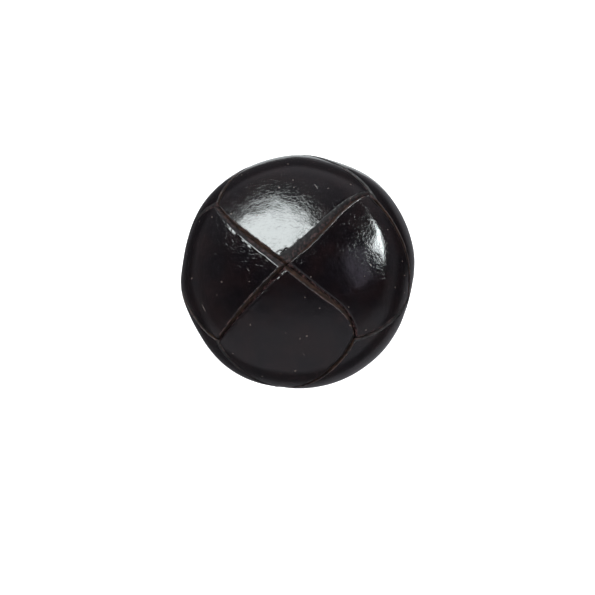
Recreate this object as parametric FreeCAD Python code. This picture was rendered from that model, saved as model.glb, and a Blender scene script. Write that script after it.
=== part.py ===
"""A woven leather shank button, 25 mm across: four leather strips plaited over a two-piece core,
with a wire eye on its back to sew it on by.

Every piece is built face up, with w measured along the button's axis from the centre of the eye.
turned_to_wear() then turns it so that the face looks along -Y and +Z is up, as on a worn coat."""

import FreeCAD, Part
import math
import os

V = FreeCAD.Vector
AXIS = V(0, 0, 1)

# The button's outer shape, in mm. The rim is its widest level.
BUTTON_RADIUS = 12.5
FACE_RISE = 5.6  # from the rim up to the middle of the face
BACK_DEPTH = 3.6  # from the rim down to the middle of the back
FACE_RIM_ROUNDING = 4.1
BACK_RIM_ROUNDING = 2.6

# The plait. Three strips meet at each corner: its distance from the axis as a share of the
# radius, and its bearing in degrees, counter-clockwise from +X as the face is seen. Four meet at
# the middle of the face and of the back, and at each middle of the rim: its bearing, and its
# height above the rim's level.
LEATHER = 0.60
SEAM = 0.10
PLY_GAP = 0.03
TUCK = 0.75  # how far a strip runs on under itself where it dives below the next one
FACE_CORNERS = {(1, 1): (0.91, 41.5), (-1, 1): (0.835, 139), (-1, -1): (0.87, 224), (1, -1): (0.83, 312)}
RIM_MIDDLES = {(0, 1): (104, -0.6), (-1, 0): (171, -0.8), (0, -1): (263, 0.0), (1, 0): (345, 0.5)}
BACK_CORNER_REACH = 0.80

# The wire eye, and what holds it.
WIRE_RADIUS = 0.6
EYE_INNER_RADIUS = 2.5
EYE_STRAIGHT = 2.8  # from the shank plate to the centre of the eye's half-round end
HOLE_CLEARANCE = 0.04
PLATE = 0.5
PLATE_RADIUS = 5.4
PLATE_EDGE_ROUNDING = 0.18
BACK_WASHER = 0.5
BACK_WASHER_RADIUS = 6.6
BOSS_RADIUS = 4.4  # the middle of the core's base, which comes up through the leather

# Inside the core.
FIT_GAP = 0.03
SPIGOT_RADIUS = 7.6
SPIGOT_HEIGHT = 0.8
CLINCH_WASHER = 0.5
CLINCH_WASHER_RADIUS = 5.4
CLINCH_BEND_RADIUS = 0.7
FOOT_LENGTH = 1.0
FOOT_LIFT = 0.1
CAVITY_RADIUS = 6.3
CAVITY_HEADROOM = 0.25

LEG_X = EYE_INNER_RADIUS + WIRE_RADIUS
BACK_STACK = PLATE + BACK_WASHER + 2 * FIT_GAP
BACK_W = EYE_STRAIGHT + BACK_STACK
RIM_W = BACK_W + BACK_DEPTH
FACE_W = RIM_W + FACE_RISE
CORE_INSET = 2 * (LEATHER + PLY_GAP)
SPIGOT_W = RIM_W + SPIGOT_HEIGHT
CLINCH_W = SPIGOT_W + FIT_GAP + CLINCH_WASHER
FOOT_W = CLINCH_W + FOOT_LIFT + WIRE_RADIUS
CAVITY_W = FOOT_W + WIRE_RADIUS + CAVITY_HEADROOM
NEAR = 1.0  # a wedge starts this far from the core's centre, and ends outside the button at FAR
FAR = 4 * BUTTON_RADIUS


def cap_radius(rise, rounding):
    """Radius of the spherical cap that rises this far and runs smoothly into the rim's rounding."""
    ring = BUTTON_RADIUS - rounding
    return (ring**2 + rise**2 - rounding**2) / (2 * (rise - rounding))


def half_outline(side, rise, rounding, inset):
    """The outline from the axis to the rim, on the face (side 1) or the back (side -1)."""
    ring = BUTTON_RADIUS - rounding
    cap = cap_radius(rise, rounding)
    cap_w = RIM_W + side * (rise - cap)
    lean = math.atan2(ring, cap - rise)

    def on_cap(angle):
        return V((cap - inset) * math.sin(angle), 0, cap_w + side * (cap - inset) * math.cos(angle))

    def on_rim(angle):
        reach = rounding - inset
        return V(ring + reach * math.cos(angle), 0, RIM_W + side * reach * math.sin(angle))

    rim_turn = math.pi / 2 - lean
    cap_arc = Part.Arc(on_cap(0), on_cap(lean / 2), on_cap(lean)).toShape()
    rim_arc = Part.Arc(on_rim(rim_turn), on_rim(rim_turn / 2), on_rim(0)).toShape()
    return [cap_arc, rim_arc]


def body(inset):
    """The whole button's shape, smaller all round by inset, or larger where inset is negative."""
    face = half_outline(1, FACE_RISE, FACE_RIM_ROUNDING, inset)
    back = half_outline(-1, BACK_DEPTH, BACK_RIM_ROUNDING, inset)
    axis = Part.makeLine(V(0, 0, BACK_W + inset), V(0, 0, FACE_W - inset))
    outline = Part.Wire(Part.__sortEdges__(face + back + [axis]))
    return Part.Face(outline).revolve(V(0, 0, 0), AXIS, 360)


def shell(outer_inset, inner_inset):
    return body(outer_inset).cut(body(inner_inset))


def disc(radius, low, high):
    return Part.makeCylinder(radius, high - low, V(0, 0, low))


def height_above_rim(side, distance):
    """How far the outer surface stands from the rim's level at this distance from the axis."""
    rise, rounding = (FACE_RISE, FACE_RIM_ROUNDING) if side > 0 else (BACK_DEPTH, BACK_RIM_ROUNDING)
    ring = BUTTON_RADIUS - rounding
    cap = cap_radius(rise, rounding)
    cap_edge = ring * cap / (cap - rounding)
    if distance < cap_edge:
        return math.sqrt(cap**2 - distance**2) - (cap - rise)
    return math.sqrt(rounding**2 - (distance - ring) ** 2)


def corner_direction(corner):
    """From the core's centre towards a corner of a tile, which is named by its rough direction."""
    x, y, side = corner
    if x == y == 0:
        return V(0, 0, side)
    if side == 0:
        bearing, height = RIM_MIDDLES[(x, y)]
        distance = BUTTON_RADIUS
    else:
        reach, bearing = BACK_CORNER_REACH, math.degrees(math.atan2(y, x))
        if side > 0:
            reach, bearing = FACE_CORNERS[(x, y)]
        distance = reach * BUTTON_RADIUS
        height = side * height_above_rim(side, distance)
    turn = math.radians(bearing)
    return V(distance * math.cos(turn), distance * math.sin(turn), height)


def tile_corners(crossing):
    """The corners, in order, of the four-sided tile that the outer strip shows at a crossing."""
    free = crossing.index(0)
    held = [i for i in range(3) if i != free]

    def where_four_meet(i):
        return tuple(crossing[i] if i == j else 0 for j in range(3))

    def where_three_meet(sign):
        return tuple(sign if i == free else crossing[i] for i in range(3))

    return [where_four_meet(held[0]), where_three_meet(1), where_four_meet(held[1]), where_three_meet(-1)]


def tile_wedge(crossing, ends, end_inset, side_inset):
    """A four-sided wedge from the core's centre out through a tile. Its two edges towards the
    strip's next crossings, ends, and its two side edges are moved inwards by their own amounts."""
    names = tile_corners(crossing)
    corners = [corner_direction(name) for name in names]
    planes = []
    for i in range(4):
        j = (i + 1) % 4
        normal = corners[i].cross(corners[j]).normalize()
        if normal.dot(corners[(i + 2) % 4]) < 0:
            normal = -normal
        is_end = any({names[i], names[j]} <= set(tile_corners(end)) for end in ends)
        planes.append((normal, end_inset if is_end else side_inset))
    near, far = [], []
    for i, corner in enumerate(corners):
        (before, inset_before), (after, inset_after) = planes[i - 1], planes[i]
        ray = V(corner).normalize()
        overlap = before.dot(after)
        spread = 1 - overlap**2
        foot = before * ((inset_before - inset_after * overlap) / spread)
        foot = foot + after * ((inset_after - inset_before * overlap) / spread)
        centre = V(0, 0, RIM_W)
        near.append(centre + foot + ray * NEAR)
        far.append(centre + foot + ray * FAR)
    faces = []
    for i in range(4):
        j = (i + 1) % 4
        faces.append(Part.Face(Part.makePolygon([near[i], near[j], far[j], far[i], near[i]])))
    for cap in (near, far):
        for a, b, c in ((0, 1, 2), (0, 2, 3)):
            faces.append(Part.Face(Part.makePolygon([cap[a], cap[b], cap[c], cap[a]])))
    wedge = Part.Solid(Part.Shell(faces))
    if wedge.Volume < 0:
        wedge.reverse()
    return wedge


def quarter_turned(crossing, turns):
    """The crossing that this many quarter turns clockwise, as the face is seen, bring it to."""
    x, y, z = crossing
    for _ in range(turns):
        x, y = y, -x
    return (x, y, z)


def strip(turns):
    """One leather strip, a ring that goes over and under the others at six crossings in turn."""
    first = [(0, 1, 1), (1, 0, 1), (1, -1, 0), (0, -1, -1), (-1, 0, -1), (-1, 1, 0)]
    crossings = [quarter_turned(crossing, turns) for crossing in first]
    outer_ply = shell(0, LEATHER)
    inner_ply = shell(LEATHER + PLY_GAP, 2 * LEATHER + PLY_GAP)
    bridge_ply = shell(LEATHER / 2, 1.5 * LEATHER + PLY_GAP)
    pieces = []
    for i, crossing in enumerate(crossings):
        ends = [crossings[i - 1], crossings[(i + 1) % 6]]
        if i % 2 == 0:
            pieces.append(outer_ply.common(tile_wedge(crossing, ends, SEAM / 2, SEAM / 2)))
            continue
        under = tile_wedge(crossing, ends, -TUCK, TUCK + SEAM)
        pieces.append(inner_ply.common(under))
        for j in (i - 1, (i + 1) % 6):
            over_ends = [crossings[j - 1], crossings[(j + 1) % 6]]
            over = tile_wedge(crossings[j], over_ends, SEAM / 2, SEAM / 2)
            pieces.append(bridge_ply.common(under).common(over))
    ring = pieces[0].multiFuse(pieces[1:])
    return ring.cut(disc(BOSS_RADIUS + FIT_GAP, 0, RIM_W))


def leg_holes(low, high):
    holes = [
        Part.makeCylinder(WIRE_RADIUS + HOLE_CLEARANCE, high - low, V(side * LEG_X, 0, low))
        for side in (-1, 1)
    ]
    return holes[0].fuse(holes[1])


def shank_loop():
    """The wire eye: a half-round end, two legs through the back, and feet spread inside."""
    end = Part.makeTorus(LEG_X, WIRE_RADIUS, V(0, 0, 0), V(0, 1, 0))
    below = Part.makeBox(FAR, FAR, FAR, V(-FAR / 2, -FAR / 2, -FAR))
    loop = end.common(below)
    bend_w = FOOT_W - CLINCH_BEND_RADIUS
    for side in (-1, 1):
        leg = Part.makeCylinder(WIRE_RADIUS, bend_w, V(side * LEG_X, 0, 0))
        bend_x = side * (LEG_X + CLINCH_BEND_RADIUS)
        section = Part.Face(
            Part.Wire(Part.makeCircle(WIRE_RADIUS, V(side * LEG_X, 0, bend_w), AXIS))
        )
        bend = section.revolve(V(bend_x, 0, bend_w), V(0, side, 0), 90)
        foot = Part.makeCylinder(WIRE_RADIUS, FOOT_LENGTH, V(bend_x, 0, FOOT_W), V(side, 0, 0))
        loop = loop.fuse(leg).fuse(bend).fuse(foot)
    return loop.removeSplitter()


def shank_plate():
    """A dished metal plate over the back washer, with a rounded edge and two leg holes."""
    inner = -(BACK_WASHER + 2 * FIT_GAP)
    plate = shell(inner - PLATE, inner).common(disc(PLATE_RADIUS, 0, RIM_W))
    edges = [edge for edge in plate.Edges if abs(edge.BoundBox.XLength - 2 * PLATE_RADIUS) < 1e-3]
    plate = plate.makeFillet(PLATE_EDGE_ROUNDING, [edge for edge in edges if edge.isClosed()])
    return plate.cut(leg_holes(0, RIM_W))


def back_washer():
    """A thin washer that covers the ends of the leather around the legs."""
    ring = shell(-(BACK_WASHER + FIT_GAP), -FIT_GAP).common(disc(BACK_WASHER_RADIUS, 0, RIM_W))
    return ring.cut(leg_holes(0, RIM_W))


def core_base():
    """The core's lower half, with a boss out through the leather and a spigot up into the dome."""
    lower = body(CORE_INSET).common(disc(BUTTON_RADIUS, 0, RIM_W))
    boss = body(0).common(disc(BOSS_RADIUS, 0, RIM_W))
    spigot = disc(SPIGOT_RADIUS, RIM_W - SPIGOT_HEIGHT, SPIGOT_W)
    return lower.multiFuse([boss, spigot]).removeSplitter().cut(leg_holes(0, FACE_W))


def core_dome():
    """The core's upper half, hollow over the spigot and over the spread feet."""
    upper = body(CORE_INSET).common(disc(BUTTON_RADIUS, RIM_W + FIT_GAP, FACE_W))
    spigot_room = disc(SPIGOT_RADIUS + FIT_GAP, RIM_W, SPIGOT_W + FIT_GAP)
    feet_room = disc(CAVITY_RADIUS, SPIGOT_W, CAVITY_W)
    return upper.cut(spigot_room.fuse(feet_room))


def clinch_washer():
    """The washer inside the core that the feet of the wire are spread over."""
    return disc(CLINCH_WASHER_RADIUS, SPIGOT_W + FIT_GAP, CLINCH_W).cut(leg_holes(0, FACE_W))


def turned_to_wear(shape):
    turned = shape.copy()
    turned.rotate(V(0, 0, 0), V(1, 0, 0), 90)
    return turned


def export(name, shape):
    if len(shape.Solids) != 1 or not shape.isValid():
        raise ValueError(f"{name}: {len(shape.Solids)} solids, valid {shape.isValid()}")
    turned_to_wear(shape.Solids[0]).exportStep(f"parts/{name}.step")


os.makedirs("parts", exist_ok=True)
export("core_dome", core_dome())
export("core_base", core_base())
export("clinch_washer", clinch_washer())
export("back_washer", back_washer())
export("shank_plate", shank_plate())
export("shank_loop", shank_loop())
for turns, place in enumerate(("top", "right", "bottom", "left")):
    export(f"{place}_strip", strip(turns))
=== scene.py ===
import math

import bpy
import numpy as np
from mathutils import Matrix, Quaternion, Vector


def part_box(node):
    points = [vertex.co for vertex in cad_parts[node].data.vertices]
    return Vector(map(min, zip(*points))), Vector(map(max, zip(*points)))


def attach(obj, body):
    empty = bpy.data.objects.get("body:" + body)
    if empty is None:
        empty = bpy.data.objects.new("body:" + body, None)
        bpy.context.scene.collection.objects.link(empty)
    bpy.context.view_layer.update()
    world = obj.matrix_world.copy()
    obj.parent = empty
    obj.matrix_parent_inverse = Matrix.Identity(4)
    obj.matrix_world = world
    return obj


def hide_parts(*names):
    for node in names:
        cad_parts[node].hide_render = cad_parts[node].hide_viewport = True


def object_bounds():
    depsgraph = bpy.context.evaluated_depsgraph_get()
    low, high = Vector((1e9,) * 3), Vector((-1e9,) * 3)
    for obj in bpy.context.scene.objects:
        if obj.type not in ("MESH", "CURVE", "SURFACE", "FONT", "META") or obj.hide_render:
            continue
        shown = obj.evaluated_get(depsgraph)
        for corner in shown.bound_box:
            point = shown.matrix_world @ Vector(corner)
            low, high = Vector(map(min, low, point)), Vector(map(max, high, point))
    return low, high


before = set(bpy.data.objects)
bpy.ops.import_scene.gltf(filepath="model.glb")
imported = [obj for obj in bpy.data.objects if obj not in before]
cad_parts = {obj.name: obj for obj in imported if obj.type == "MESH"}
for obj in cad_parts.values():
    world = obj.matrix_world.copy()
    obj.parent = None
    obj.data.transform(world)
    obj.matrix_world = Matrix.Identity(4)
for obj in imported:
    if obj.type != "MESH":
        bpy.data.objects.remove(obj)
CAD_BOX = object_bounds()

# Lengths below are in millimetres until to_row_frame() turns them into metres.
MM = 0.001

# The button's outer shape, from the frame. Its face looks along -Y, and w runs along the axis from
# the centre of the eye towards the face, so w is -Y.
RADIUS = CAD_BOX[1][0] / MM
FACE_W = -CAD_BOX[0][1] / MM
RIM_W = -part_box("core_dome")[1][1] / MM
BACK_W = -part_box("core_base")[1][1] / MM
FACE_RIM_ROUNDING = 4.1
BACK_RIM_ROUNDING = 2.6

# The plait. Four strips cross at the middle of the face and of the back and at four places on the
# rim, and three meet at each corner between them. A corner is named by its rough direction. Its
# place is (share of the radius, bearing counter-clockwise from +X as the face is seen), or on the
# rim (bearing, height above the rim's level).
LEATHER = 0.60
MIDDLE = (0, 0, 1)
FACE_CORNERS = {(1, 1): (0.91, 41.5), (-1, 1): (0.835, 139), (-1, -1): (0.87, 224), (1, -1): (0.83, 312)}
RIM_MIDDLES = {(0, 1): (104, -0.6), (-1, 0): (171, -0.8), (0, -1): (263, 0.0), (1, 0): (345, 0.5)}
BACK_CORNER_REACH = 0.80
# The rim is not quite round: (bearing, reach on both sides in degrees, height) of its bulges and flats.
BULGES = [(68, 14, -0.26), (212, 13, -0.22), (186, 9, 0.24), (5, 12, 0.12)]

# How the leather lies at each seam, from its first corner to its second:
#   bow: how far the seam bends to the left, as so much of one, two and three half waves
#   dive: the length over which the lower strip goes down, at both ends
#   cut: how wide the upper strip's cut edge shows, at both ends and halfway
#   pucker: how deep the lower strip wrinkles as it goes down
#   roll: how gently it starts to go down
SEAMS = {
    (MIDDLE, (1, 1, 1)): {
        "bow": (0.30, -0.25, 0.00), "dive": (1.10, 0.28), "cut": (0.25, 0.50, 0.20),
        "pucker": 0.05, "roll": 1.2,
    },
    (MIDDLE, (-1, 1, 1)): {
        "bow": (0.33, -0.05, 0.00), "dive": (0.60, 0.40), "cut": (0.55, 0.76, 0.15),
        "pucker": 0.035, "roll": 1.2,
    },
    (MIDDLE, (-1, -1, 1)): {
        "bow": (-0.15, 0.00, 0.00), "dive": (0.80, 0.35), "cut": (0.30, 0.30, 0.15),
        "pucker": 0.02, "roll": 1.8,
    },
    (MIDDLE, (1, -1, 1)): {
        "bow": (1.00, -0.32, 0.06), "dive": (0.60, 0.40), "cut": (0.55, 0.72, 0.05),
        "pucker": 0.02, "roll": 1.3,
    },
}
PLAIN_SEAM = {"bow": (0, 0, 0), "dive": (0.22, 0.30), "cut": (0.16, 0.18, 0.16), "pucker": 0.05, "roll": 1.3}

# How far the middle of a tile stands above its edges, and how flat it is between them, on the face
# and back and on the rim. END_FLATNESS is the same along the strip.
FACE_CROWN, FACE_FLATNESS = -0.10, 2
RIM_CROWN, RIM_FLATNESS = 0.20, 2.6
END_FLATNESS = 2.5
EDGE_SINK = 0.06  # how far those edges lie below the plain shape
DIVE_DEPTH = 0.54
DIVE_OVERRUN = 1.15  # how far the strip goes on bending past the seam, where 1 is the seam itself
PUCKER_REACH = 1.6  # how far from the seam the wrinkles reach, in lengths of the dive
CUT_ROUNDING, CUT_ROUNDING_DROP = 0.12, 0.7  # width of the rounding by a cut edge, and its share of drop
FULL_WAVER = 0.15  # half the width of cut edge at which it wavers in full
EDGE_BAND = 0.5  # how far in from a cut edge the leather counts as near it
PEAK, PEAK_REACH = 0.28, 3.2  # the petals lean up to a low point at the middle of the face
UNDER_RECESS = 0.9
UNDER_GAP = 0.06

# Unevenness, as (size of the features, height). The height of the puckers is a share of the seam's.
LUMPS = [(3.2, 0.026), (1.3, 0.008), (0.6, 0.003)]
EDGE_WAVER = [(1.3, 0.05), (0.42, 0.04), (0.19, 0.02)]
FIBRES = [(0.30, 0.030), (0.12, 0.022)]
DEEPEST_PUCKER = 0.05
PUCKERS = [(1.1, 1.2), (0.45, 1.3), (0.24, 0.7)]

OVER_STEPS, UNDER_STEPS, ACROSS_STEPS, CUT_STEPS, BASE_STEPS = 136, 12, 132, 9, 5


# ---------------------------------------------------------------- shape of the button


def half_outline(side, rise, rounding):
    """Points (distance, height above the rim) and normals from the axis to the rim."""
    ring = RADIUS - rounding
    cap = (ring**2 + rise**2 - rounding**2) / (2 * (rise - rounding))
    lean = math.atan2(ring, cap - rise)
    on_cap = np.linspace(0, lean, 400)
    on_rim = np.linspace(lean, math.pi / 2, 400)
    distance = np.concatenate([cap * np.sin(on_cap), ring + rounding * np.sin(on_rim)])
    height = np.concatenate([rise - cap + cap * np.cos(on_cap), rounding * np.cos(on_rim)])
    turn = np.concatenate([on_cap, on_rim])
    return distance, side * height, np.sin(turn), side * np.cos(turn)


def full_outline():
    face = half_outline(1, FACE_W - RIM_W, FACE_RIM_ROUNDING)
    back = half_outline(-1, RIM_W - BACK_W, BACK_RIM_ROUNDING)
    joined = [np.concatenate([f, b[::-1]]) for f, b in zip(face, back)]
    polar = np.arctan2(joined[0], joined[1])
    return polar, joined


POLAR, OUTLINE = full_outline()


def on_surface(rays):
    """Where rays from the core's centre leave the plain shape, and its normals there."""
    flat = np.hypot(rays[..., 0], rays[..., 1])
    polar = np.arctan2(flat, rays[..., 2])
    distance, height, outward, upward = [np.interp(polar, POLAR, part) for part in OUTLINE]
    bearing = rays[..., :2] / np.maximum(flat, 1e-9)[..., None]
    degrees = np.degrees(np.arctan2(bearing[..., 1], bearing[..., 0]))
    for middle, reach, bulge in BULGES:
        apart = (degrees - middle + 180) % 360 - 180
        distance = distance + bulge * np.exp(-((apart / reach) ** 2)) * outward**4
    points = np.stack([bearing[..., 0] * distance, bearing[..., 1] * distance, height], -1)
    normals = np.stack([bearing[..., 0] * outward, bearing[..., 1] * outward, upward], -1)
    return points, normals


def outline_height(side, distance):
    """How far the plain shape stands from the rim's level at this distance from the axis."""
    half = len(POLAR) // 2
    part = slice(0, half) if side > 0 else slice(half, None)
    order = np.argsort(OUTLINE[0][part])
    return np.interp(distance, OUTLINE[0][part][order], OUTLINE[1][part][order])


def corner_point(corner):
    """The place of a tile's corner, from the core's centre."""
    x, y, side = corner
    if x == y == 0:
        return np.array([0, 0, outline_height(side, 0)])
    if side == 0:
        bearing, height = RIM_MIDDLES[(x, y)]
        distance = RADIUS
    else:
        reach, bearing = BACK_CORNER_REACH, math.degrees(math.atan2(y, x))
        if side > 0:
            reach, bearing = FACE_CORNERS[(x, y)]
        distance = reach * RADIUS
        height = outline_height(side, distance)
    turn = math.radians(bearing)
    return on_surface(np.array([distance * math.cos(turn), distance * math.sin(turn), height]))[0]


ASKEW = np.array([(0.36, 0.48, -0.8), (-0.8, 0.6, 0.0), (0.48, 0.64, 0.6)])  # no axis lies along X, Y or Z


def noise(points, scale, seed):
    """Smooth random values from -1 to 1, with features about one scale apart."""
    grid = points @ ASKEW / scale + seed * 17.31
    cell = np.floor(grid).astype(np.int64)
    part = grid - cell
    part = part * part * (3 - 2 * part)
    total = np.zeros(points.shape[:-1])
    for corner in np.ndindex(2, 2, 2):
        key = (cell + corner) * np.array([73856093, 19349663, 83492791])
        key = key[..., 0] ^ key[..., 1] ^ key[..., 2]
        key = (key ^ (key >> 13)) * 1274126177
        value = ((key ^ (key >> 16)) & 0xFFFF) / 32767.5 - 1
        weight = np.prod(np.where(np.array(corner) == 1, part, 1 - part), axis=-1)
        total += weight * value
    return total


def uneven(points, layers, seed):
    """The sum of several sizes of noise, given as (size, height)."""
    return sum(height * noise(points, size, seed + i) for i, (size, height) in enumerate(layers))


# ---------------------------------------------------------------- the plait


def tile_corners(crossing):
    """The corners, in order, of the four-sided tile that the outer strip shows at a crossing."""
    free = crossing.index(0)
    held = [i for i in range(3) if i != free]

    def where_four_meet(i):
        return tuple(crossing[i] if i == j else 0 for j in range(3))

    def where_three_meet(sign):
        return tuple(sign if i == free else crossing[i] for i in range(3))

    return [where_four_meet(held[0]), where_three_meet(1), where_four_meet(held[1]), where_three_meet(-1)]


def strip_tiles(turns):
    """The strip's six tiles, each as its two entry corners and its two exit corners."""
    crossings = [(0, 1, 1), (1, 0, 1), (1, -1, 0), (0, -1, -1), (-1, 0, -1), (-1, 1, 0)]
    for _ in range(turns):
        crossings = [(y, -x, z) for x, y, z in crossings]
    rings = [tile_corners(crossing) for crossing in crossings]
    entry = [corner for corner in rings[0] if corner in rings[-1]]
    tiles = []
    for ring in rings:
        i, j = ring.index(entry[0]), ring.index(entry[1])
        step = 1 if (i + 1) % 4 == j else -1
        leave = [ring[(i - step) % 4], ring[(j + step) % 4]]
        tiles.append((entry, leave))
        entry = leave
    return tiles


class Seam:
    """The line between two corners, with how the leather lies there. Along it, t goes from 0 to 1."""

    def __init__(self, a, b):
        self.flipped = (a, b) not in SEAMS and ((b, a) in SEAMS or a > b)
        first, second = (b, a) if self.flipped else (a, b)
        self.form = SEAMS.get((first, second), PLAIN_SEAM)
        self.left = np.cross(corner_point(first), corner_point(second))
        self.left /= np.linalg.norm(self.left)

    def turned(self, t):
        return 1 - t if self.flipped else t

    def bow(self, t):
        """How far the seam lies to the left of the straight line between its corners."""
        shares = enumerate(self.form["bow"], start=1)
        return sum(share * np.sin(waves * math.pi * self.turned(t)) for waves, share in shares)

    def shift(self, t):
        return self.bow(t)[..., None] * self.left

    def dive(self, t):
        return np.interp(self.turned(t), [0, 1], self.form["dive"])

    def cut(self, t):
        return np.interp(self.turned(t), [0, 0.5, 1], self.form["cut"])


class Tile:
    """One cell of a strip: rays from the core's centre, s along the strip and t across it."""

    def __init__(self, corners, over):
        entry, leave = corners
        self.a0, self.a1 = [corner_point(c) for c in entry]
        self.b0, self.b1 = [corner_point(c) for c in leave]
        self.over = over
        self.ends = [Seam(*entry), Seam(*leave)]
        self.sides = [Seam(entry[0], leave[0]), Seam(entry[1], leave[1])]
        self.inside = self.a0 + self.a1 + self.b0 + self.b1
        on_rim = over and all(c.count(0) != 2 or c[2] == 0 for c in entry + leave)
        self.crown, self.flatness = (RIM_CROWN, RIM_FLATNESS) if on_rim else (FACE_CROWN, FACE_FLATNESS)

    def along(self):
        """Stations along the tile, closer together near its ends."""
        even = np.linspace(0, 1, OVER_STEPS if self.over else UNDER_STEPS, endpoint=False)
        return 0.5 * even + 0.5 * (0.5 - 0.5 * np.cos(math.pi * even))

    def rays(self, s, t):
        s, t = np.broadcast_arrays(s, t)
        inner_t, inner_s = np.clip(t, 0, 1), np.clip(s, 0, 1)
        side0 = self.a0 + (self.b0 - self.a0) * s[..., None]
        side1 = self.a1 + (self.b1 - self.a1) * s[..., None]
        plain = side0 + (side1 - side0) * t[..., None]
        from_ends = (
            self.ends[0].shift(inner_t) * (1 - s)[..., None]
            + self.ends[1].shift(inner_t) * s[..., None]
        )
        from_sides = (
            self.sides[0].shift(inner_s) * (1 - inner_t)[..., None]
            + self.sides[1].shift(inner_s) * inner_t[..., None]
        )
        return plain + from_ends + from_sides

    def width(self, s):
        low, high = [on_surface(self.rays(s, np.full_like(s, t)))[0] for t in (0, 1)]
        return np.linalg.norm(high - low, axis=-1)

    def dive(self, points, t):
        """How far down the strip has gone towards the ply below, and how deep it puckers there."""
        inner_t = np.clip(t, 0, 1)
        down, pucker = np.zeros(t.shape), np.zeros(t.shape)
        for end in self.ends:
            inward = end.left if end.left @ self.inside > 0 else -end.left
            past_bow = points @ inward - end.bow(inner_t) * (end.left @ inward)
            bend = np.clip(1 - past_bow / end.dive(inner_t), 0, DIVE_OVERRUN)
            down = np.maximum(down, bend ** end.form["roll"])
            near = np.clip(PUCKER_REACH - past_bow / end.dive(inner_t), 0, 1)
            pucker = np.maximum(pucker, end.form["pucker"] * near)
        return down, pucker


def strip_section(tile, s, seed):
    """One tile's cross-sections, in a loop round the strip: the top, a cut edge, the base and the
    other cut edge. With them come their places by the cut edges, which rise from 0 to 1 on the top and
    from 1 to 2 down the edge, how far the strip has dived there, and how wrinkled it is."""
    width = tile.width(s)[:, None]
    s_grid = s[:, None]
    crosswise = np.linspace(0, 1, ACROSS_STEPS)
    crosswise = (0.45 * crosswise + 0.55 * (0.5 - 0.5 * np.cos(math.pi * crosswise)))[None, :]
    lines = [on_surface(tile.rays(s_grid, np.full_like(s_grid, t)))[0] for t in (0, 1)]
    recess, reach = [], []
    for i, side in enumerate(tile.sides):
        if tile.over:
            half = side.cut(s_grid) / 2
            recess.append(half + uneven(lines[i], EDGE_WAVER, seed) * np.minimum(1, half / FULL_WAVER))
            reach.append(half)
        else:
            recess.append(np.full_like(s_grid, UNDER_RECESS))
            reach.append(np.full_like(s_grid, -UNDER_RECESS))
    start, stop = recess[0] / width, 1 - recess[1] / width
    foot, last = -reach[0] / width, 1 + reach[1] / width
    top_t = start + (stop - start) * crosswise
    base_t = foot + (last - foot) * np.linspace(0, 1, BASE_STEPS)[None, :]
    down = np.linspace(0, 1, CUT_STEPS + 2)[None, 1:-1]

    top, top_normals = on_surface(tile.rays(s_grid, top_t))
    base, base_normals = on_surface(tile.rays(s_grid, base_t))
    from_edge = np.minimum(crosswise, 1 - crosswise) * width
    if tile.over:
        crown = 1 - np.abs(2 * crosswise - 1) ** tile.flatness
        crown = crown * (1 - np.abs(2 * s_grid - 1) ** END_FLATNESS)
        rounding = CUT_ROUNDING_DROP * CUT_ROUNDING * np.clip(1 - from_edge / CUT_ROUNDING, 0, 1) ** 2
        sunk, pucker = tile.dive(top, top_t)
        top_level = tile.crown * crown - EDGE_SINK - rounding - DIVE_DEPTH * sunk
        top_level += uneven(top, LUMPS, 3) + pucker * uneven(top, PUCKERS, 9)
        top_level += PEAK * np.exp(-np.hypot(top[..., 0], top[..., 1]) / PEAK_REACH) * (top[..., 2] > 0)
        base_level = -LEATHER - DIVE_DEPTH * tile.dive(base, base_t)[0]
    else:
        sunk, pucker = np.ones(top_t.shape), np.zeros(top_t.shape)
        top_level = np.full(top_t.shape, -DIVE_DEPTH - UNDER_GAP)
        base_level = np.full(base_t.shape, -DIVE_DEPTH - UNDER_GAP - LEATHER)
    top = top + top_normals * top_level[..., None]
    base = base + base_normals * base_level[..., None]

    def cut_edge(above, below):
        points = above[:, None] + (below - above)[:, None] * down[..., None]
        rough = uneven(points, FIBRES, seed + 5) * np.sin(math.pi * down) ** 0.5
        outward = (above - top.mean(axis=1))[:, None]
        outward /= np.linalg.norm(outward, axis=-1, keepdims=True)
        return points + outward * rough[..., None]

    edge0 = cut_edge(top[:, 0], base[:, 0])
    edge1 = cut_edge(top[:, -1], base[:, -1])
    points = np.concatenate([top, edge1, base[:, ::-1], edge0[:, ::-1]], axis=1)
    edge_place = np.full(points.shape[:2], 2.0)
    edge_place[:, :ACROSS_STEPS] = np.clip(1 - from_edge / EDGE_BAND, 0, 1)
    edge_place[:, ACROSS_STEPS : ACROSS_STEPS + CUT_STEPS] = 1 + down
    edge_place[:, -CUT_STEPS:] = 1 + down[:, ::-1]
    depth = np.ones(points.shape[:2])
    depth[:, :ACROSS_STEPS] = np.clip(sunk, 0, 1)
    wrinkled = np.zeros(points.shape[:2])
    wrinkled[:, :ACROSS_STEPS] = pucker / DEEPEST_PUCKER
    return points, edge_place, depth, wrinkled


def strip_mesh(turns):
    """All the cross-sections round the strip's ring."""
    parts = []
    for i, corners in enumerate(strip_tiles(turns)):
        tile = Tile(corners, over=i % 2 == 0)
        parts.append(strip_section(tile, tile.along(), seed=20 * turns + i))
    return [np.concatenate(part) for part in zip(*parts)]


def to_row_frame(points):
    """From the button's own x, y and w to the row's X, Y and Z, in metres."""
    x, y, w = points[..., 0], points[..., 1], points[..., 2] + RIM_W
    return np.stack([x, -w, y], -1) * MM


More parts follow.
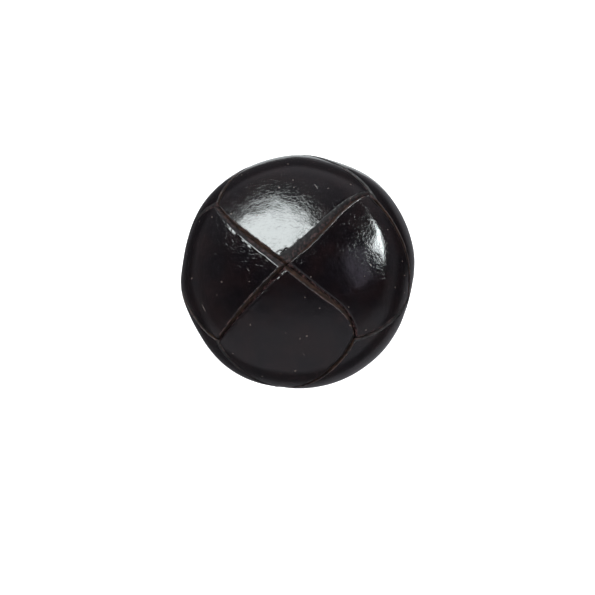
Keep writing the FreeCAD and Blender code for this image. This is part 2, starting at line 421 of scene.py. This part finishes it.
def ring_faces(rows, columns):
    """Quads between neighbouring cross-sections, closed both ways, and each quad's column."""
    i, j = np.meshgrid(np.arange(rows), np.arange(columns), indexing="ij")
    after_i, after_j = (i + 1) % rows, (j + 1) % columns
    quads = [i * columns + j, i * columns + after_j, after_i * columns + after_j, after_i * columns + j]
    return np.stack(quads, -1).reshape(-1, 4), j.reshape(-1)


def mesh_object(name, points, faces, materials, face_slots, point_values):
    mesh = bpy.data.meshes.new(name)
    mesh.from_pydata(points.reshape(-1, 3).tolist(), [], faces.tolist())
    for material in materials:
        mesh.materials.append(material)
    mesh.polygons.foreach_set("material_index", np.asarray(face_slots, np.int32))
    mesh.polygons.foreach_set("use_smooth", np.ones(len(mesh.polygons), bool))
    for label, values in point_values.items():
        mesh.attributes.new(label, "FLOAT", "POINT").data.foreach_set("value", values.reshape(-1))
    mesh.validate()
    mesh.update()
    piece = bpy.data.objects.new(name, mesh)
    bpy.context.collection.objects.link(piece)
    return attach(piece, "root")


# ---------------------------------------------------------------- materials


class Surface:
    """A procedural material. Its noise sizes and bump heights are in millimetres."""

    def __init__(self, name, metallic=0.0):
        self.material = bpy.data.materials.new(name)
        self.material.use_nodes = True
        self.tree = self.material.node_tree
        self.shader = self.tree.nodes["Principled BSDF"]
        self.shader.inputs["Metallic"].default_value = metallic
        self.place = self.node("ShaderNodeTexCoord").outputs["Object"]
        self.normal = None

    def node(self, kind, inputs={}, **settings):
        made = self.tree.nodes.new(kind)
        for key, value in settings.items():
            setattr(made, key, value)
        for socket, value in inputs.items():
            if isinstance(value, bpy.types.NodeSocket):
                self.tree.links.new(value, made.inputs[socket])
            else:
                made.inputs[socket].default_value = value
        return made

    def attribute(self, name):
        return self.node("ShaderNodeAttribute", attribute_name=name).outputs["Fac"]

    def stretched(self, x, y, z):
        """The place, with its features drawn out by these amounts along X, Y and Z."""
        scale = (1 / x, 1 / y, 1 / z)
        return self.node("ShaderNodeMapping", {"Vector": self.place, "Scale": scale}).outputs[0]

    def noise(self, size, detail=2.0, place=None, distortion=0.0):
        inputs = {"Vector": place or self.place, "Scale": 1 / (size * MM), "Detail": detail}
        inputs["Distortion"] = distortion
        return self.node("ShaderNodeTexNoise", inputs).outputs[0]

    def cells(self, size, output="Distance", place=None, **settings):
        inputs = {"Vector": place or self.place, "Scale": 1 / (size * MM)}
        return self.node("ShaderNodeTexVoronoi", inputs, **settings).outputs[output]

    def turned(self, angle, lengths):
        """The place, turned in the plane of the face, with its features drawn out along X, Y and Z."""
        turn = self.node("ShaderNodeMapping", {"Vector": self.place, "Rotation": (0, math.radians(angle), 0)})
        scale = tuple(1 / length for length in lengths)
        return self.node("ShaderNodeMapping", {"Vector": turn.outputs[0], "Scale": scale}).outputs[0]

    def rare_spots(self, size, place, rarity, radius):
        """Spots in a few of the cells of this size; a higher rarity leaves fewer."""
        chosen = self.node("ShaderNodeSeparateColor", {0: self.cells(size, "Color", place)}).outputs[0]
        spot = self.remap(self.cells(size, "Distance", place), radius, radius * 0.5)
        return self.math("MULTIPLY", spot, self.remap(chosen, rarity, rarity + 0.03))

    def warped(self, size, amount):
        """The place, moved about by noise of this size by up to this amount."""
        push = self.node("ShaderNodeTexNoise", {"Vector": self.place, "Scale": 1 / (size * MM)}).outputs[1]
        inputs = {0: push, 1: (amount * MM,) * 3, 2: self.place}
        return self.node("ShaderNodeVectorMath", inputs, operation="MULTIPLY_ADD").outputs[0]

    def remap(self, value, low, high, to_low=0.0, to_high=1.0):
        inputs = {"Value": value, "From Min": low, "From Max": high, "To Min": to_low, "To Max": to_high}
        return self.node("ShaderNodeMapRange", inputs, interpolation_type="SMOOTHSTEP").outputs[0]

    def math(self, operation, a, b=0.0):
        return self.node("ShaderNodeMath", {0: a, 1: b}, operation=operation).outputs[0]

    def mix(self, factor, a, b):
        pair = [(*c, 1) if isinstance(c, tuple) else c for c in (a, b)]
        inputs = {0: factor, 6: pair[0], 7: pair[1]}
        return self.node("ShaderNodeMix", inputs, data_type="RGBA").outputs[2]

    def bump(self, height, distance):
        inputs = {"Height": height, "Distance": distance * MM}
        if self.normal:
            inputs["Normal"] = self.normal
        self.normal = self.node("ShaderNodeBump", inputs).outputs[0]

    def finish(self, colour, roughness, **constants):
        self.tree.links.new(colour, self.shader.inputs["Base Color"])
        self.tree.links.new(roughness, self.shader.inputs["Roughness"])
        self.tree.links.new(self.normal, self.shader.inputs["Normal"])
        for name, value in constants.items():
            self.shader.inputs[name.replace("_", " ")].default_value = value
        return self.material


def polished_leather():
    """Near-black strap leather: fine grain, creases where it bends, worn edges, dust and scratches, and a
    painted sheen where it dives.
    """
    dyed, dyed_warm, worn_brown = (0.0033, 0.0024, 0.0032), (0.0056, 0.0031, 0.0035), (0.045, 0.021, 0.018)
    folded_dark, folded_sheen_brown = (0.005, 0.003, 0.0035), (0.054, 0.029, 0.029)
    dust_grey, scratch_grey = (0.10, 0.076, 0.066), (0.10, 0.082, 0.075)

    leather = Surface("polished_leather")
    near_edge, sunk = leather.attribute("edge_place"), leather.attribute("sunk")
    patches = leather.remap(leather.noise(2.6, 3), 0.35, 0.7)
    colour = leather.mix(patches, dyed, dyed_warm)
    worn = leather.math(
        "MULTIPLY",
        leather.remap(near_edge, 0.45, 1.0),
        leather.remap(leather.noise(0.5, 3), 0.42, 0.62),
    )
    colour = leather.mix(worn, colour, worn_brown)
    # Where the strip dives, its colour turns lighter and browner in mottled patches. This is partly scuffing
    # and partly a painted reflection of the sheen that the bent leather catches.
    scuff_and_sheen_mottle = leather.remap(leather.noise(0.35, 4, distortion=0.5), 0.42, 0.68)
    scuffed_and_sheen = leather.mix(scuff_and_sheen_mottle, folded_dark, folded_sheen_brown)
    colour = leather.mix(leather.remap(sunk, 0.05, 0.5), colour, scuffed_and_sheen)
    shifted = leather.warped(0.14, 0.22)
    dust = leather.rare_spots(0.75, shifted, 0.70, 0.13)
    dust = leather.math("MULTIPLY", dust, leather.remap(leather.noise(0.12, 2), 0.25, 0.5))
    colour = leather.mix(dust, colour, dust_grey)
    one_way = leather.rare_spots(0.9, leather.turned(28, (1, 8, 13)), 0.45, 0.05)
    other_way = leather.rare_spots(0.9, leather.turned(-55, (11, 8, 1)), 0.45, 0.045)
    scratch = leather.math("MAXIMUM", one_way, other_way)
    colour = leather.mix(scratch, colour, scratch_grey)

    creases = leather.cells(0.34, "Distance", leather.warped(0.3, 0.30), feature="DISTANCE_TO_EDGE")
    leather.bump(leather.remap(creases, 0.0, 0.17), 0.0023)
    cracks = leather.cells(0.62, "Distance", leather.warped(0.35, 0.45), feature="DISTANCE_TO_EDGE")
    cracks = leather.math(
        "MAXIMUM",
        leather.remap(cracks, 0.0, 0.08),
        leather.remap(leather.noise(0.9, 2), 0.60, 0.48),
    )
    leather.bump(cracks, 0.0030)
    leather.bump(leather.noise(0.24, 1), 0.0028)
    leather.bump(leather.noise(1.1, 1), 0.008)
    edge = leather.remap(near_edge, 0.55, 0.95)
    leather.bump(leather.math("MULTIPLY", edge, leather.noise(0.15, 3)), 0.05)
    folded = leather.math("MULTIPLY", leather.remap(sunk, 0.0, 0.3), leather.noise(0.22, 4, distortion=0.6))
    leather.bump(folded, 0.06)
    leather.bump(leather.math("MULTIPLY", scratch, -1.0), 0.01)
    roughness = leather.remap(leather.noise(1.4, 4), 0.3, 0.7, 0.085, 0.125)
    wrinkled = leather.remap(leather.attribute("wrinkled"), 0.40, 0.55)
    rubbed = leather.math("MULTIPLY", wrinkled, leather.remap(leather.noise(0.3, 3), 0.3, 0.6, 0.50, 0.74))
    frayed = leather.math("MULTIPLY", edge, leather.remap(leather.noise(0.25, 3), 0.40, 0.6, 0.20, 0.7))
    for added in (frayed, rubbed, leather.math("MULTIPLY", dust, 0.5)):
        roughness = leather.math("ADD", roughness, added)
    return leather.finish(colour, roughness, Coat_Weight=0.15, Coat_Roughness=0.07)


def cut_leather():
    """The strips' raw cut edges: matt brown fibres, darkened by dye from above."""
    cut = Surface("cut_leather")
    layer_shift = (2.2 * MM,) * 3
    down = cut.node(
        "ShaderNodeVectorMath", {0: cut.attribute("edge_place"), 1: layer_shift}, operation="MULTIPLY"
    )
    layers = cut.node("ShaderNodeVectorMath", {0: cut.place, 1: down.outputs[0]}, operation="ADD").outputs[0]
    fibres = cut.remap(cut.noise(0.45, 4, layers, 0.3), 0.36, 0.66)
    colour = cut.mix(fibres, (0.0080, 0.0040, 0.0028), (0.055, 0.026, 0.017))
    stain = cut.remap(cut.noise(1.3, 3), 0.42, 0.66)
    colour = cut.mix(cut.math("MULTIPLY", stain, 0.75), colour, (0.0075, 0.0042, 0.0042))
    hair = cut.math(
        "MULTIPLY",
        cut.remap(cut.noise(0.05, 2), 0.62, 0.75),
        cut.remap(cut.noise(0.8, 2), 0.5, 0.7),
    )
    colour = cut.mix(hair, colour, (0.15, 0.07, 0.055))
    cut.bump(fibres, 0.06)
    cut.bump(cut.noise(0.07, 4, distortion=1.0), 0.035)
    return cut.finish(colour, cut.remap(cut.noise(0.4, 2), 0.3, 0.7, 0.62, 0.88), Specular_IOR_Level=0.2)


def plated_metal(name, bright, dull, grime_at, roughness):
    """Antique nickel over steel: soft tarnish, fine scratches, and patches of grime."""
    metal = Surface(name, metallic=1.0)
    tarnish = metal.remap(metal.noise(1.8, 5, distortion=0.4), 0.30, 0.74)
    colour = metal.mix(tarnish, bright, dull)
    grime = metal.remap(metal.noise(0.35, 5, distortion=0.8), *grime_at)
    colour = metal.mix(metal.math("MULTIPLY", grime, 0.7), colour, (0.075, 0.062, 0.05))
    lines = metal.noise(0.09, 2, metal.stretched(14, 1, 1), 0.3)
    fine = metal.noise(0.07, 2, metal.stretched(1, 1, 11), 0.2)
    metal.bump(lines, 0.006)
    metal.bump(fine, 0.005)
    metal.bump(metal.noise(0.8, 3), 0.018)
    uneven_polish = metal.remap(metal.noise(1.1, 4), 0.3, 0.7, *roughness)
    rough = metal.math("ADD", uneven_polish, metal.math("MULTIPLY", grime, 0.3))
    return metal.finish(colour, rough)


def bonded_fibre():
    """A washer of bonded leather fibre: dark, matt and matted, with paler threads."""
    fibre = Surface("bonded_fibre")
    matted = fibre.remap(fibre.noise(0.35, 5, distortion=1.6), 0.34, 0.68)
    colour = fibre.mix(matted, (0.014, 0.008, 0.006), (0.048, 0.028, 0.021))
    threads = fibre.remap(fibre.noise(0.11, 3, fibre.stretched(4, 1, 2), 1.5), 0.62, 0.74)
    colour = fibre.mix(threads, colour, (0.11, 0.072, 0.053))
    fibre.bump(fibre.noise(0.12, 4, distortion=1.4), 0.05)
    fibre.bump(fibre.noise(0.9, 2), 0.04)
    return fibre.finish(colour, fibre.remap(fibre.noise(0.6, 3), 0.3, 0.7, 0.68, 0.9))


def moulded_plastic():
    """The core's plain dark plastic, as it left the mould."""
    plastic = Surface("moulded_plastic")
    swirl = plastic.remap(plastic.noise(2.2, 4, distortion=0.8), 0.35, 0.68)
    colour = plastic.mix(swirl, (0.060, 0.056, 0.052), (0.098, 0.092, 0.085))
    plastic.bump(plastic.noise(0.10, 3), 0.012)
    plastic.bump(plastic.noise(1.6, 2), 0.03)
    return plastic.finish(colour, plastic.remap(plastic.noise(0.7, 3), 0.3, 0.7, 0.45, 0.65))


# ---------------------------------------------------------------- the pieces

POLISHED, CUT = polished_leather(), cut_leather()
for turns, place in enumerate(("top", "right", "bottom", "left")):
    points, edge_place, sunk, wrinkled = strip_mesh(turns)
    rows, columns = edge_place.shape
    faces, column = ring_faces(rows, columns)
    slots = (column >= ACROSS_STEPS - 1).astype(int)
    values = {"edge_place": edge_place, "sunk": sunk, "wrinkled": wrinkled}
    piece = mesh_object(f"{place}_strip_leather", to_row_frame(points), faces, [POLISHED, CUT], slots, values)
    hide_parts(f"{place}_strip")

PLATE = plated_metal("antique_plate", (0.50, 0.45, 0.37), (0.26, 0.23, 0.185), (0.56, 0.78), (0.27, 0.42))
WIRE = plated_metal("antique_wire", (0.58, 0.53, 0.45), (0.27, 0.24, 0.195), (0.60, 0.72), (0.20, 0.34))
FIBRE, PLASTIC = bonded_fibre(), moulded_plastic()
NEW_FINISH = {
    "shank_plate": PLATE,
    "clinch_washer": PLATE,
    "shank_loop": WIRE,
    "back_washer": FIBRE,
    "core_base": PLASTIC,
    "core_dome": PLASTIC,
}
for name, material in NEW_FINISH.items():
    for slot in bpy.data.objects[name].material_slots:
        slot.material = material

# ---------------------------------------------------------------- stage, light and camera

FLOOR_DROP = 0.045
WALL_AWAY = 0.6
COOL_WHITE = (0.93, 1.0, 1.0)
SWEEP_RADIUS = 0.2
BUTTON_MIDDLE = Vector((0, -RIM_W * MM, 0))


def backdrop():
    """A pale floor that sweeps up into a glowing wall far behind the object."""
    near_y, wide, high = -1.6, 1.6, 1.6
    bend = [
        (WALL_AWAY - SWEEP_RADIUS + SWEEP_RADIUS * math.sin(a), SWEEP_RADIUS * (1 - math.cos(a)))
        for a in np.linspace(0, math.pi / 2, 24)
    ]
    profile = [(near_y, 0)] + bend + [(WALL_AWAY, high)]
    points = [(x, y, z - FLOOR_DROP) for y, z in profile for x in (-wide, wide)]
    faces = [(2 * i, 2 * i + 1, 2 * i + 3, 2 * i + 2) for i in range(len(profile) - 1)]
    mesh = bpy.data.meshes.new("backdrop")
    mesh.from_pydata(points, [], faces)
    mesh.polygons.foreach_set("use_smooth", np.ones(len(faces), bool))
    paper = Surface("backdrop_paper")
    # The paper glows like a lightbox: its emission rises from nothing near the object to full at the far
    # wall.
    away = paper.node("ShaderNodeVectorMath", {0: paper.place}, operation="LENGTH").outputs["Value"]
    glow = paper.remap(away, 0.1, WALL_AWAY - 0.05, 0.0, 1.0)
    paper.tree.links.new(glow, paper.shader.inputs["Emission Strength"])
    paper.shader.inputs["Emission Color"].default_value = (1, 1, 1, 1)
    paper.bump(paper.noise(0.6, 3), 0.01)
    # The paper's own tone varies a little at random.
    shade = paper.mix(paper.noise(30, 3), (0.86, 0.86, 0.86), (0.90, 0.90, 0.90))
    mesh.materials.append(paper.finish(shade, paper.remap(paper.noise(8, 2), 0.3, 0.7, 0.85, 0.95)))
    sweep = bpy.data.objects.new("backdrop", mesh)
    bpy.context.collection.objects.link(sweep)
    sweep.visible_glossy = False


def direction(azimuth, elevation):
    """Unit vector from the object towards this side. Azimuth 0 is in front, 90 is on the right."""
    a, e = math.radians(azimuth), math.radians(elevation)
    return Vector((math.sin(a) * math.cos(e), -math.cos(a) * math.cos(e), math.sin(e)))


def soft_light(
    name, azimuth, elevation, away, size, radiance, shape="RECTANGLE", roll=0, colour=COOL_WHITE
):
    """An area lamp that faces the button from this side, with its brightness given per unit of area."""
    lamp = bpy.data.lights.new(name, "AREA")
    lamp.shape = shape
    lamp.size, lamp.size_y = size
    area = size[0] * size[1] * (math.pi / 4 if shape == "ELLIPSE" else 1)
    lamp.energy = radiance * math.pi * area
    lamp.color = colour
    light = bpy.data.objects.new(name, lamp)
    towards = direction(azimuth, elevation)
    light.location = BUTTON_MIDDLE + towards * away
    light.rotation_mode = "QUATERNION"
    light.rotation_quaternion = towards.to_track_quat("Z", "Y") @ Quaternion((0, 0, 1), math.radians(roll))
    bpy.context.collection.objects.link(light)


def studio_world():
    """Dark straight in front of the face, paler round that, above and below, dim out to the sides, and
    pale again behind, towards the right. Seen directly, it is white."""
    world = bpy.data.worlds.new("studio")
    world.use_nodes = True
    tree = world.node_tree

    def ramp(socket, low, high, to_low, to_high):
        made = tree.nodes.new("ShaderNodeMapRange")
        made.interpolation_type = "SMOOTHSTEP"
        tree.links.new(socket, made.inputs["Value"])
        for name, value in zip(("From Min", "From Max", "To Min", "To Max"), (low, high, to_low, to_high)):
            made.inputs[name].default_value = value
        return made.outputs["Result"]

    def combined(operation, a, b):
        made = tree.nodes.new("ShaderNodeMath")
        made.operation = operation
        tree.links.new(a, made.inputs[0])
        tree.links.new(b, made.inputs[1])
        return made.outputs[0]

    parts = tree.nodes.new("ShaderNodeSeparateXYZ")
    tree.links.new(tree.nodes.new("ShaderNodeTexCoord").outputs["Generated"], parts.inputs[0])
    sides = ramp(parts.outputs["Y"], -0.83, -0.45, 0.01, 0.22)
    above = ramp(parts.outputs["Z"], 0.32, 1.0, 0.0, 0.62)
    below = ramp(parts.outputs["Z"], -0.12, -0.42, 0.0, 0.44)
    in_front = ramp(parts.outputs["Y"], -0.32, -0.05, 1.0, 0.25)
    behind = ramp(parts.outputs["Y"], 0.15, 0.60, 0.0, 0.40)
    behind = combined("MULTIPLY", behind, ramp(parts.outputs["X"], -0.8, 0.4, 0.3, 1.0))
    strength = combined("MULTIPLY", combined("MAXIMUM", combined("MAXIMUM", sides, below), above), in_front)
    strength = combined("MAXIMUM", strength, behind)
    seen = tree.nodes.new("ShaderNodeLightPath").outputs["Is Camera Ray"]
    strength = combined("MAXIMUM", strength, seen)
    tree.links.new(strength, tree.nodes["Background"].inputs["Strength"])
    tint = tree.nodes.new("ShaderNodeMix")
    tint.data_type = "RGBA"
    tint.inputs[6].default_value, tint.inputs[7].default_value = (0.94, 0.93, 1, 1), (1, 1, 1, 1)
    tree.links.new(seen, tint.inputs[0])
    tree.links.new(tint.outputs[2], tree.nodes["Background"].inputs["Color"])
    bpy.context.scene.world = world


backdrop()
studio_world()
soft_light("key_light", -20.5, 26, 0.30, (0.190, 0.104), 15.5, "ELLIPSE")
soft_light("right_light", 36.5, 19.0, 0.35, (0.056, 0.098), 32, roll=-25)
soft_light("low_fill", 22.5, 6, 0.35, (0.036, 0.090), 1.0, colour=(0.86, 0.80, 1.0))
soft_light("back_light", 190, 35, 0.40, (0.25, 0.20), 0.9)

LENS = 135
SENSOR = 36
VIEW_AZIMUTH, VIEW_ELEVATION = 12.5, -6.5
SHARE_OF_FRAME = 0.3965  # the button's width as a share of the frame's
ABOVE_MIDDLE = 0.0444  # how far its middle is above the frame's, as a share of the frame's height
RIGHT_OF_MIDDLE = -0.001

camera_data = bpy.data.cameras.new("camera")
camera_data.lens = LENS
camera_data.sensor_width = SENSOR
camera = bpy.data.objects.new("camera", camera_data)
frame_width = 2 * RADIUS * MM / SHARE_OF_FRAME
towards = direction(VIEW_AZIMUTH, VIEW_ELEVATION)
turn = towards.to_track_quat("Z", "Y")
aside = turn @ Vector((-RIGHT_OF_MIDDLE, -ABOVE_MIDDLE, 0)) * frame_width
camera.location = BUTTON_MIDDLE + towards * (frame_width * LENS / SENSOR) + aside
camera.rotation_mode = "QUATERNION"
camera.rotation_quaternion = turn
bpy.context.collection.objects.link(camera)
bpy.context.scene.camera = camera
bpy.context.scene.view_settings.view_transform = "Standard"
